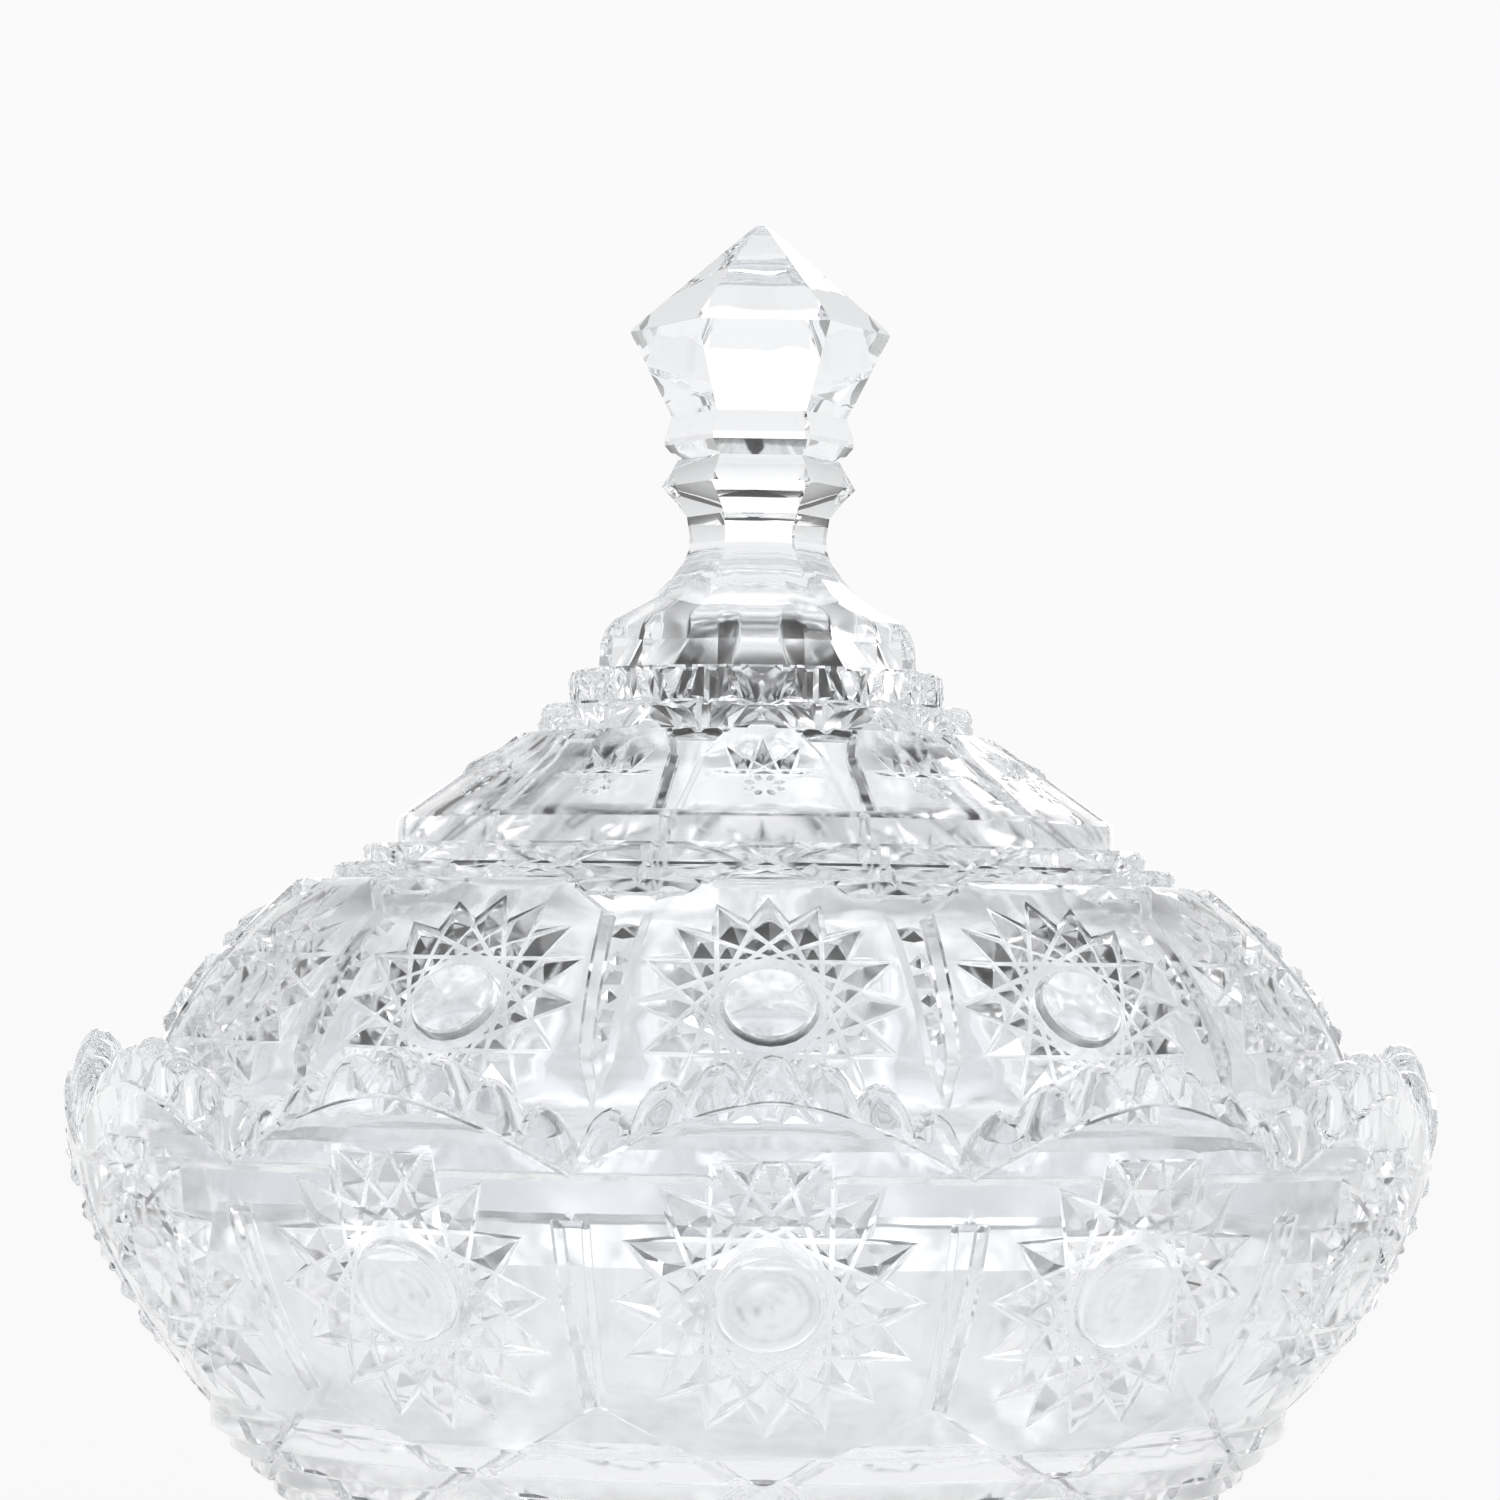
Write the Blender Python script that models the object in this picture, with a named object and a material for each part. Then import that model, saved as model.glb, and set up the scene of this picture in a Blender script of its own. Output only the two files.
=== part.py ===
"""Covered powder jar of pressed clear glass: a round bowl with a scalloped, toothed rim, and a domed lid whose faceted knob is
pressed in one piece with it. The frame is +Z up, with the origin at the centre of the foot. Lengths are in millimetres until a
vertex is made. Angles are measured round +Z from the middle of the front panel, which faces -Y.
"""

import math

import bmesh
import bpy

MM = 0.001

# Driving dimensions
PANELS = 12  # decorated panels round the bowl and round the lid
RIM_RADIUS = 75.0
WIDEST_Z = 62.0  # height at which the bowl is widest
FOOT_RADIUS = 35.6
FOOT_HEIGHT = 7.0
SEAT_Z = 56.5  # ledge inside the bowl that the lid rests on
SEAT_GAP = 0.3  # clearance left between the two pieces of glass
JAR_HEIGHT = 158.0

# Bowl
BOWL_CURVE = (0.02443, 1.843)  # gain and power of the bulge below WIDEST_Z
FOOT_RECESS = 1.5
WALL = 6.0
FLOOR_Z = 13.5
SEAT_OUTER, SEAT_INNER = 69.8, 65.3
STEP_TOP, STEP_HEIGHT, STEP_COUNT = 27.9, 2.4, 4
STEP_NOTCH = 0.6  # depth of the notches round each step
RIM_TEETH = 7 * PANELS
SCALLOP_DROP, SCALLOP_POWER = 7.2, 1.6
RIM_EDGE_Z = 63.1  # top of each smooth scallop
TOOTH_RISE = 4.9  # how far the teeth stand above the scallop
TOOTH_NOTCH = 2.4
RIM_THICKNESS = 5.4

# Lid
DOME_RADIUS, DOME_Z = 66.5, 58.0
DOME_CURVE = (0.0199, 2.048)
DOME_TOP_Z = 84.6
LIP_RADIUS, LIP_TOP_Z = 68.8, 60.5
SPIGOT_RADIUS, SPIGOT_BOTTOM_Z = 64.7, 52.6  # ring under the lid that centres it in the bowl's mouth
SPIGOT_THICKNESS = 3.9
LID_STEPS = ((46.3, 84.6, 86.4), (43.0, 86.4, 88.5), (39.5, 88.5, 91.5))  # radius, bottom, top
SHOULDER = (38.9, 91.8, 26.2, 100.8)  # sloping band of small panels: radius and height at its foot and its top
TOP_STEPS = ((23.9, 100.8, 104.0), (20.6, 104.0, 107.8))
COLLAR = ((18.0, 107.8), (17.9, 110.8), (17.1, 112.4), (15.4, 113.9))
NECK = (
    (11.8, 116.1),
    (8.8, 118.8),
    (7.7, 121.3),
    (7.9, 124.0),
    (10.8, 128.2),
    (9.6, 131.2),
    (10.6, 133.2),
    (9.9, 136.2),
)
KNOB = ((14.5, 145.7), (0.6, JAR_HEIGHT - 0.25))
KNOB_SIDES, COLLAR_SIDES, ROUND = 6, PANELS, 0

# Relief that both pieces share
BUTTON_HEIGHT = 0.9
LID_BUTTON = (72.9, 5.0)  # height of its centre, and radius
BOWL_BUTTON = (44.2, 6.0)
COLUMNS = 48  # points round each ring, a multiple of both KNOB_SIDES and PANELS
RIM_COLUMNS = 2 * RIM_TEETH
FRONT = -math.pi / 2

GLASS_COLOUR = (0.93, 0.95, 0.95, 1.0)
GLASS_ROUGHNESS = 0.02


def bowl_radius(z):
    """Outer radius of the bowl at height z."""
    gain, power = BOWL_CURVE
    return RIM_RADIUS - gain * max(WIDEST_Z - z, 0.0) ** power


def dome_radius(z):
    """Outer radius of the lid's dome at height z."""
    gain, power = DOME_CURVE
    return DOME_RADIUS - gain * max(z - DOME_Z, 0.0) ** power


def scallop_drop(angle):
    """How far the rim has dropped at this angle below the middle of its scallop."""
    half = math.pi / PANELS
    away = abs((angle + half) % (2 * half) - half)
    return SCALLOP_DROP * (away / half) ** SCALLOP_POWER


def side_radius(angle, radius, sides):
    """Distance from the axis to a ring: round if sides is 0, or a polygon with a flat to the front and corners at radius."""
    if not sides:
        return radius
    half = math.pi / sides
    off = (angle + half) % (2 * half) - half
    return radius * math.cos(half) / math.cos(off)


def heights(low, high, count):
    """count heights from low to high, both included."""
    return [low + (high - low) * i / (count - 1) for i in range(count)]


def ring_points(columns, radius, height):
    """Points of one ring. radius and height are numbers, or functions of the angle and the column."""
    points = []
    for i in range(columns):
        angle = 2 * math.pi * i / columns
        r = radius(angle, i) if callable(radius) else radius
        z = height(angle, i) if callable(height) else height
        turn = angle + FRONT
        points.append((r * math.cos(turn) * MM, r * math.sin(turn) * MM, z * MM))
    return points


def loft(name, columns, rings, closed=False):
    """A solid skinned over rings of points. A closed one joins its last ring to its first, as a hoop, and an open one has an
    apex at each end, given as a height on the axis."""
    bm = bmesh.new()
    apexes = []
    if not closed:
        apexes = [bm.verts.new((0, 0, rings[k] * MM)) for k in (0, -1)]
        rings = rings[1:-1]
    loops = []
    for radius, height in rings:
        loops.append([bm.verts.new(p) for p in ring_points(columns, radius, height)])
    pairs = list(zip(loops, loops[1:]))
    if closed:
        pairs.append((loops[-1], loops[0]))
    for low, high in pairs:
        for i in range(columns):
            j = (i + 1) % columns
            bm.faces.new((low[i], low[j], high[j], high[i]))
    for apex, loop in zip(apexes, (loops[0], loops[-1])):
        for i in range(columns):
            bm.faces.new((apex, loop[i], loop[(i + 1) % columns]))
    bmesh.ops.recalc_face_normals(bm, faces=bm.faces)
    return finish_mesh(name, bm)


def finish_mesh(name, bm):
    """Turns a bmesh into an object that is smooth, with its sharp edges kept."""
    mesh = bpy.data.meshes.new(name)
    bm.to_mesh(mesh)
    bm.free()
    mesh.shade_smooth()
    mesh.set_sharp_from_angle(angle=math.radians(20))
    obj = bpy.data.objects.new(name, mesh)
    bpy.context.scene.collection.objects.link(obj)
    return obj


def add_boolean(obj, tool, operation):
    """Joins or cuts obj with a helper object, which is then kept out of the render."""
    tool.hide_render = True
    tool.display_type = "WIRE"
    modifier = obj.modifiers.new(tool.name, "BOOLEAN")
    modifier.operation = operation
    modifier.solver = "EXACT"
    modifier.object = tool


def notched(radius, depth):
    """A ring radius with a notch at every second column."""
    return lambda angle, i: radius - depth * (i % 2)


def faceted(radius, sides):
    """A ring radius that follows a polygon."""
    return lambda angle, i: side_radius(angle, radius, sides)


def bowl_outside():
    """Rings of the bowl's outer face, from the foot to just below the rim."""
    rings = [
        (FOOT_RADIUS - 8.0, FOOT_RECESS),
        (FOOT_RADIUS - 6.5, 0.0),
        (faceted(FOOT_RADIUS - 0.8, COLLAR_SIDES), 0.0),
        (faceted(FOOT_RADIUS, COLLAR_SIDES), 1.0),
        (faceted(FOOT_RADIUS, COLLAR_SIDES), FOOT_HEIGHT - 0.6),
        (bowl_radius(FOOT_HEIGHT) - 0.8, FOOT_HEIGHT),
    ]
    lowest_step = STEP_TOP - STEP_HEIGHT * STEP_COUNT
    for z in heights(FOOT_HEIGHT + 1.2, lowest_step - 0.3, 4):
        rings.append((bowl_radius(z), z))
    for i in reversed(range(STEP_COUNT)):
        top = STEP_TOP - STEP_HEIGHT * i
        bottom = top - STEP_HEIGHT + 0.2
        rings.append((notched(bowl_radius(top) - 0.5, STEP_NOTCH), bottom))
        rings.append((notched(bowl_radius(top), STEP_NOTCH), top))
    for z in heights(STEP_TOP + 0.6, SEAT_Z, 8):
        rings.append((bowl_radius(z), z))
    return rings


def bowl_inside():
    """Rings of the bowl's inner face, from the seat down to the floor."""
    rings = [
        (SEAT_OUTER, SEAT_Z),
        (SEAT_INNER + 0.4, SEAT_Z),
        (SEAT_INNER, SEAT_Z - 0.4),
        (SEAT_INNER - 0.2, SPIGOT_BOTTOM_Z - 1.5),
    ]
    for z in reversed(heights(FLOOR_Z + 5.0, SPIGOT_BOTTOM_Z - 4.5, 6)):
        rings.append((bowl_radius(z) - WALL - 0.6, z))
    floor_edge = bowl_radius(FLOOR_Z + 5.0) - WALL - 0.6
    rings.append((floor_edge - 4.4, FLOOR_Z + 1.8))
    rings.append((floor_edge - 11.0, FLOOR_Z + 0.3))
    return rings


def make_rim():
    """The scalloped wall that stands above the seat, with its teeth, as a hoop that sinks into the bowl."""

    def tooth_top(lower):
        def height(angle, i):
            notch = TOOTH_NOTCH * (i % 2)
            return RIM_EDGE_Z + TOOTH_RISE - scallop_drop(angle) - notch - lower

        return height

    def edge(angle, _):
        return RIM_EDGE_Z - scallop_drop(angle)

    root = SEAT_Z - 2.5
    inner = RIM_RADIUS - RIM_THICKNESS
    rings = [
        (inner + 0.2, root),
        (bowl_radius(root) - 0.2, root),
        (bowl_radius(SEAT_Z) + 0.1, lambda a, i: min(SEAT_Z, edge(a, i)) - 1.0),
        (RIM_RADIUS, edge),
        (RIM_RADIUS - 0.8, tooth_top(1.0)),
        (RIM_RADIUS - 2.0, tooth_top(0.0)),
        (inner + 1.6, tooth_top(0.2)),
        (inner + 0.2, tooth_top(1.4)),
    ]
    return loft("rim_hoop", RIM_COLUMNS, rings, closed=True)


def make_buttons(name, radius_at, place):
    """The round button in the middle of each panel: short studs square to the glass, sunk into it."""
    height, size = place
    slope = (radius_at(height - 1.0) - radius_at(height + 1.0)) / 2.0
    tilt = math.atan(slope)
    sunk, sides = 3.0, 12
    bm = bmesh.new()
    for k in range(PANELS):
        turn = 2 * math.pi * k / PANELS + FRONT
        normal = (math.cos(tilt), math.sin(tilt))
        out = (math.cos(turn), math.sin(turn))
        for level, spread in ((-sunk, 1.0), (BUTTON_HEIGHT, 0.88)):
            r0 = radius_at(height) + normal[0] * level
            z0 = height + normal[1] * level
            loop = []
            for i in range(sides):
                a = 2 * math.pi * i / sides
                across = size * spread * math.cos(a)
                up = size * spread * math.sin(a)
                r = r0 - normal[1] * up
                x = (r * out[0] - across * out[1]) * MM
                y = (r * out[1] + across * out[0]) * MM
                loop.append(bm.verts.new((x, y, (z0 + normal[0] * up) * MM)))
            if level < 0:
                base = loop
        bm.faces.new(base)
        bm.faces.new(loop)
        for i in range(sides):
            j = (i + 1) % sides
            bm.faces.new((base[i], base[j], loop[j], loop[i]))
    bmesh.ops.recalc_face_normals(bm, faces=bm.faces)
    return finish_mesh(name, bm)


def make_dividers(name, radius_at, low, high, width, depth):
    """V-shaped cutters for the upright grooves between neighbouring panels. They run out to a point at low."""
    bm = bmesh.new()
    rows = 7
    for k in range(PANELS):
        turn = 2 * math.pi * (k + 0.5) / PANELS + FRONT
        out = (math.cos(turn), math.sin(turn))
        previous = None
        for i, z in enumerate(heights(low, high, rows)):
            share = min(1.0, 0.12 + i / 2.5)
            r = radius_at(z)
            section = []
            for across, radial in ((-1.4, 1.5), (0.0, -depth * share), (1.4, 1.5)):
                wide = across * width * share
                x = ((r + radial) * out[0] - wide * out[1]) * MM
                y = ((r + radial) * out[1] + wide * out[0]) * MM
                section.append(bm.verts.new((x, y, z * MM)))
            if previous:
                for j in range(3):
                    n = (j + 1) % 3
                    bm.faces.new((previous[j], previous[n], section[n], section[j]))
            else:
                bm.faces.new(section)
            previous = section
        bm.faces.new(previous)
    bmesh.ops.recalc_face_normals(bm, faces=bm.faces)
    return finish_mesh(name, bm)


def make_bowl():
    """The bowl: foot, stepped bands, panelled wall, inner seat and scalloped rim."""
    rings = [FOOT_RECESS, *bowl_outside(), *bowl_inside(), FLOOR_Z]
    bowl = loft("bowl", COLUMNS, rings)
    dividers = make_dividers("bowl_dividers", bowl_radius, STEP_TOP + 1.5, SEAT_Z - 3.5, 0.9, 1.0)
    add_boolean(bowl, make_rim(), "UNION")
    add_boolean(bowl, make_buttons("bowl_buttons", bowl_radius, BOWL_BUTTON), "UNION")
    add_boolean(bowl, dividers, "DIFFERENCE")
    return bowl


def lid_outside():
    """Rings of the lid's outer face, from its lip up to the knob."""
    rings = [(LIP_RADIUS, SEAT_Z + SEAT_GAP), (LIP_RADIUS + 0.2, LIP_TOP_Z - 2.2)]
    rings.append((LIP_RADIUS - 0.2, LIP_TOP_Z - 1.2))
    for z in heights(LIP_TOP_Z, DOME_TOP_Z, 8):
        rings.append((dome_radius(z), z))
    for radius, bottom, top in LID_STEPS:
        rings.append((notched(radius, STEP_NOTCH), bottom + 0.1))
        rings.append((notched(radius, STEP_NOTCH), top))
    foot_r, foot_z, top_r, top_z = SHOULDER
    rings.append((foot_r, foot_z))
    rings.append((top_r, top_z))
    for radius, bottom, top in TOP_STEPS:
        rings.append((notched(radius, STEP_NOTCH), bottom + 0.1))
        rings.append((notched(radius, STEP_NOTCH), top))
    rings += [(faceted(radius, COLLAR_SIDES), z) for radius, z in COLLAR]
    rings += [(faceted(radius, KNOB_SIDES), z) for radius, z in NECK + KNOB]
    return rings


def lid_inside():
    """Rings of the lid's hollow underside, from the top of the hollow down to the spigot and the lip."""
    peak = ((3.6, 111.2), (8.0, 107.4), (11.6, 104.9), (16.3, 101.5))
    slope = ((25.0, 95.6), (33.0, 90.2), (41.0, 85.4), (49.0, 80.4))
    rings = [*peak, *slope]
    for z in reversed(heights(SEAT_Z + 2.5, 76.0, 4)):
        rings.append((dome_radius(z) - 5.6, z))
    inner = SPIGOT_RADIUS - SPIGOT_THICKNESS
    rings += [
        (inner, SPIGOT_BOTTOM_Z + 0.6),
        (inner + 0.5, SPIGOT_BOTTOM_Z),
        (SPIGOT_RADIUS - 0.6, SPIGOT_BOTTOM_Z),
        (SPIGOT_RADIUS, SPIGOT_BOTTOM_Z + 0.6),
        (SPIGOT_RADIUS, SEAT_Z + SEAT_GAP),
    ]
    return rings


def make_lid():
    """The lid: lip and spigot, panelled dome, stepped bands, collar, neck and faceted knob, all one piece of glass."""
    hollow_top = 112.5
    rings = [hollow_top, *lid_inside(), *lid_outside(), JAR_HEIGHT]
    lid = loft("lid", COLUMNS, rings)
    dividers = make_dividers("lid_dividers", dome_radius, LIP_TOP_Z + 1.6, DOME_TOP_Z - 1.6, 0.9, 1.0)
    add_boolean(lid, make_buttons("lid_buttons", dome_radius, LID_BUTTON), "UNION")
    add_boolean(lid, dividers, "DIFFERENCE")
    return lid


def make_glass():
    """Clear, smooth glass."""
    material = bpy.data.materials.new("clear_glass")
    material.use_nodes = True
    shader = material.node_tree.nodes["Principled BSDF"]
    shader.inputs["Base Color"].default_value = GLASS_COLOUR
    shader.inputs["Roughness"].default_value = GLASS_ROUGHNESS
    shader.inputs["Metallic"].default_value = 0.0
    shader.inputs["Transmission Weight"].default_value = 1.0
    shader.inputs["IOR"].default_value = 1.52
    return material


def main():
    for obj in list(bpy.data.objects):
        bpy.data.objects.remove(obj)
    glass = make_glass()
    for obj in (make_bowl(), make_lid()):
        obj.data.materials.append(glass)


main()
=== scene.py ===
"""Looks of the covered powder jar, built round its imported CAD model. Each piece of glass is one closed mesh.
Its decorated skin is laid out flat as one sector of twelve, with x round the jar and t along the profile of
the wall, and copies of it are wrapped round the axis. The glass is measured in millimetres, and the floor,
the lights and the camera in metres."""

import math

import bmesh
import bpy
import numpy as np
from mathutils import Matrix, Vector
from mathutils.geometry import delaunay_2d_cdt


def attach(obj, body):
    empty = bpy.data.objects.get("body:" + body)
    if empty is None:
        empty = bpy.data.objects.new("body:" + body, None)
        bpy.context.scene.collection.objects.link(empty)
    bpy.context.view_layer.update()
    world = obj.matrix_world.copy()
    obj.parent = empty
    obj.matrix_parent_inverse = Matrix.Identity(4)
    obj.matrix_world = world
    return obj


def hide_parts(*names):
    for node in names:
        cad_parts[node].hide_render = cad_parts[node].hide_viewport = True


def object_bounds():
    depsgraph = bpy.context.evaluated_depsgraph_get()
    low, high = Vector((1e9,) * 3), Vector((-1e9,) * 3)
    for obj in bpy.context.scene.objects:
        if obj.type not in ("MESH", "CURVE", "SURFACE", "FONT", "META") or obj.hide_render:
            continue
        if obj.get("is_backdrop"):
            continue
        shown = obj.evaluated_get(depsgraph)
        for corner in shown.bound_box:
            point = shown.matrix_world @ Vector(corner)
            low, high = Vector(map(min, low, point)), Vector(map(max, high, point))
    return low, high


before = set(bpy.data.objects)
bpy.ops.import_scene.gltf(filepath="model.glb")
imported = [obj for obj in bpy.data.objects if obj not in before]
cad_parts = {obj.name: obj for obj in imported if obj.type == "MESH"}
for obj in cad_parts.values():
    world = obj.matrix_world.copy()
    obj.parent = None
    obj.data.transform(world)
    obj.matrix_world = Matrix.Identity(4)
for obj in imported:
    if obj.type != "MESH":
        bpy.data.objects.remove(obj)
cad_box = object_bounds()

MM = 0.001
FRONT = -math.pi / 2  # the middle of the front panel faces -Y
SECTORS = 12
HALF = math.pi / SECTORS
SPAN = 60.0  # flat millimetres to a radian
EDGE = SPAN * HALF  # x at the edges of a sector
SIDE = 14  # ring segments in a sector
COLUMNS = SECTORS * SIDE
KNOB_SIDES = 6
SHARP = 26  # degrees: faces that meet at a larger turn have a crisp edge between them
TINY = 1e-4
INSIDE_SLOT = 1  # the material slot of the inner faces

SEAT_Z = 56.5  # the ledge inside the bowl that carries the lid
LIFT = 0.3  # the lid's lip stands this far off the seat, as in the CAD
BOWL_RADIUS, BOWL_Z = 75.0, 62.0  # where the bowl is widest
BOWL_CURVE, BOWL_POWER = 0.02443, 1.843
DOME_RADIUS, DOME_Z = 66.5, 58.0  # where the lid's dome is widest
DOME_CURVE, DOME_POWER = 0.0199, 2.048


def bowl_radius(z):
    """Outer radius of the bowl."""
    return BOWL_RADIUS - BOWL_CURVE * max(BOWL_Z - z, 0.0) ** BOWL_POWER


def dome_radius(z):
    """Outer radius of the lid's dome."""
    return DOME_RADIUS - DOME_CURVE * max(z - DOME_Z, 0.0) ** DOME_POWER


def polygon(angle, sides):
    """Distance to the side of a polygon with corners at distance 1 and a flat to the front."""
    half = math.pi / sides
    off = (angle + half) % (2 * half) - half
    return math.cos(half) / math.cos(off)


class Profile:
    """A section through the outside of the wall, measured by its length t from its lower end."""

    def __init__(self, points, flats=()):
        self.points = np.array(points, float)
        lengths = np.hypot(*np.diff(self.points, axis=0).T)
        self.t = np.concatenate(([0.0], np.cumsum(lengths)))
        self.flats = flats  # heights, and how far the ring is twelve-sided at each

    def at(self, t):
        """Radius and height at t."""
        r = float(np.interp(t, self.t, self.points[:, 0]))
        return r, float(np.interp(t, self.t, self.points[:, 1]))

    def find(self, z):
        """The t of a height."""
        return float(np.interp(z, self.points[:, 1], self.t))

    def out(self, t):
        """Unit vector out of the glass at t, smoothed over the steps."""
        reach = 1.2
        r0, z0 = self.at(max(t - reach, 0.0))
        r1, z1 = self.at(min(t + reach, self.t[-1]))
        size = math.hypot(r1 - r0, z1 - z0)
        return (z1 - z0) / size, (r0 - r1) / size

    def wrap(self, x, t, high, turn=0.0):
        """The point in space of a point of the flat layout that stands high above the skin."""
        r, z = self.at(t)
        nr, nz = self.out(t)
        if self.flats:
            share = np.interp(z, self.flats[0], self.flats[1])
            r *= 1 + share * (polygon(x / SPAN, SECTORS) - 1)
        r += high * nr
        angle = x / SPAN + turn + FRONT
        return (r * math.cos(angle) * MM, r * math.sin(angle) * MM, (z + high * nz) * MM)


class Shell:
    """Collects points and faces, and makes one closed object of them."""

    def __init__(self):
        self.points, self.faces, self.slots = [], [], []

    def add(self, points, faces, slot=0):
        start = len(self.points)
        self.points.extend(points)
        self.faces.extend([tuple(start + i for i in face) for face in faces])
        self.slots.extend([slot] * len(faces))

    def rings(self, rings, start=None, end=None, slot=0):
        """Skins rings of equal length. A height given for an end closes it with a point on the axis."""
        n = len(rings[0])
        points = [p for loop in rings for p in loop]
        faces = []
        for k in range(len(rings) - 1):
            a, b = k * n, (k + 1) * n
            faces += [(a + i, a + (i + 1) % n, b + (i + 1) % n, b + i) for i in range(n)]
        for tip, base in ((start, 0), (end, (len(rings) - 1) * n)):
            if tip is None:
                continue
            points.append((0.0, 0.0, tip * MM))
            apex = len(points) - 1
            for i in range(n):
                face = (base + i, base + (i + 1) % n, apex)
                faces.append(face if base or tip is end else face[::-1])
        self.add(points, faces, slot)

    def build(self, name):
        """Welds what was added into one mesh and says whether it is closed."""
        mesh = bpy.data.meshes.new(name)
        mesh.from_pydata(self.points, [], self.faces)
        mesh.polygons.foreach_set("material_index", self.slots)
        bm = bmesh.new()
        bm.from_mesh(mesh)
        bmesh.ops.remove_doubles(bm, verts=bm.verts, dist=2e-6)
        bmesh.ops.dissolve_degenerate(bm, edges=bm.edges, dist=1e-7)
        bmesh.ops.recalc_face_normals(bm, faces=bm.faces)
        loose = sum(not e.is_manifold for e in bm.edges)
        print(f"{name}: {len(bm.faces)} faces, {loose} open edges, volume {bm.calc_volume() * 1e6:.1f} ml")
        bm.to_mesh(mesh)
        bm.free()
        mesh.shade_smooth()
        mesh.set_sharp_from_angle(angle=math.radians(SHARP))
        obj = bpy.data.objects.new(name, mesh)
        bpy.context.scene.collection.objects.link(obj)
        return obj


def split(shape, a, b):
    """The two parts of a convex shape on the left and on the right of the line from a to b."""
    dx, dy = b[0] - a[0], b[1] - a[1]
    size = math.hypot(dx, dy)
    far = [(dx * (p[1] - a[1]) - dy * (p[0] - a[0])) / size for p in shape]
    hair = 1e-6
    parts = ([], [])
    for i, p in enumerate(shape):
        j = (i + 1) % len(shape)
        if far[i] > -hair:
            parts[0].append(p)
        if far[i] < hair:
            parts[1].append(p)
        if far[i] * far[j] < 0 and min(abs(far[i]), abs(far[j])) > hair:
            s = far[i] / (far[i] - far[j])
            q = (p[0] + s * (shape[j][0] - p[0]), p[1] + s * (shape[j][1] - p[1]))
            parts[0].append(q)
            parts[1].append(q)
    return [part for part in parts if len(part) > 2 and area(part) > 1e-5]


def area(shape):
    return abs(sum(p[0] * q[1] - q[0] * p[1] for p, q in zip(shape, shape[1:] + shape[:1]))) / 2


def middle(shape):
    """The point of a convex shape furthest from its sides, and that distance."""
    p = np.mean(shape, axis=0)
    a = np.array(shape)
    d = np.roll(a, -1, axis=0) - a
    normals = np.stack((-d[:, 1], d[:, 0]), axis=1) / np.linalg.norm(d, axis=1)[:, None]
    # It steps away from the nearest side, by less each time.
    if np.sum((p - a[0]) * normals[0]) < 0:
        normals = -normals
    step = 0.3
    for _ in range(80):
        far = np.sum((p - a) * normals, axis=1)
        p = p + normals[np.argmin(far)] * step * max(far.min(), 0.02)
        step *= 0.93
    return p, float(np.sum((p - a) * normals, axis=1).min())


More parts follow.
